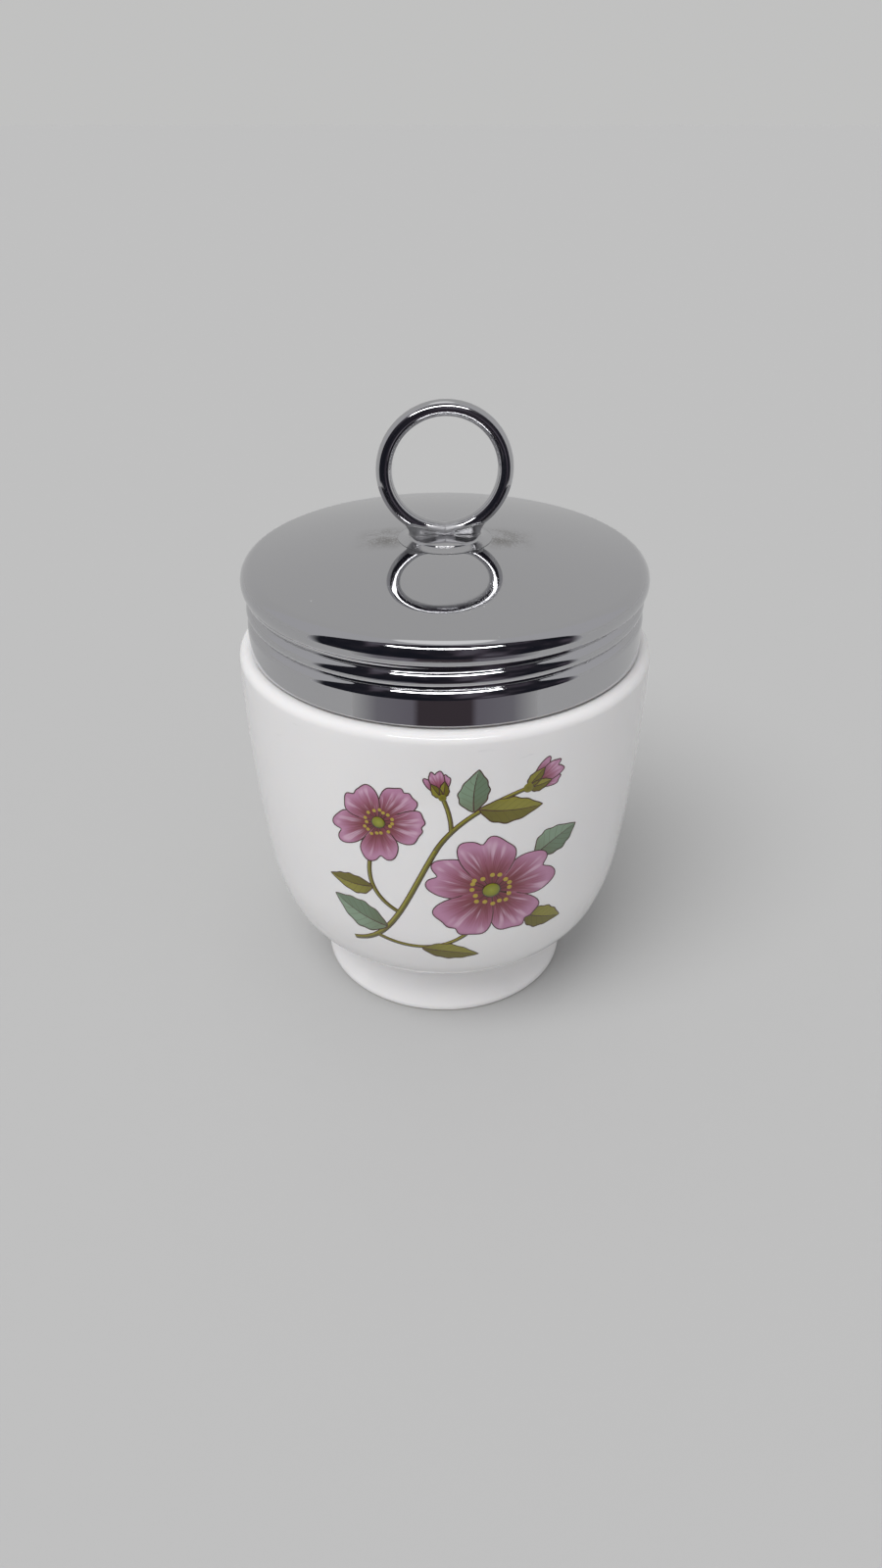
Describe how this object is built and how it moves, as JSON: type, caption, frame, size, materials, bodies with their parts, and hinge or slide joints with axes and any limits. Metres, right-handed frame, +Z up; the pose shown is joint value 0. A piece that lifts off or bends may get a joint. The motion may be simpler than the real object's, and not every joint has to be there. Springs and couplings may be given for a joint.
{
  "type": "egg coddler",
  "caption": "Porcelain cup on a short foot with a domed metal screw lid and a wire lifting ring, for cooking and serving eggs in their own cup.",
  "frame": {"origin": "centre of the foot's resting face", "axes": "+Z up along the screw's axis; +X to the right and -Y towards the decorated front"},
  "size_m": [0.0666, 0.0666, 0.1005],
  "materials": {
    "porcelain": "white glazed porcelain with a fired-on floral spray",
    "plated_metal": "bright chrome plating"
  },
  "bodies": {
    "cup": {"cup": "porcelain"},
    "lid_lift": {"ring_boss": "plated_metal"},
    "lid": {"lid_cap": "plated_metal", "ring_seat": "plated_metal", "ring_handle": "plated_metal"}
  },
  "joints": [
    {"name": "lid_rise", "type": "slide", "parent": "cup", "child": "lid_lift", "axis": [0, 0, 1], "range_m": [0, 0.0136]},
    {"name": "lid_turn", "type": "hinge", "parent": "lid_lift", "child": "lid", "pos_m": [0, 0, 0.07], "axis": [0, 0, 1], "range_deg": [0, 1800]}
  ],
  "couplings": [
    {"joint": "lid_rise", "follows": "lid_turn", "m_per_rad": 0.00042972}
  ]
}
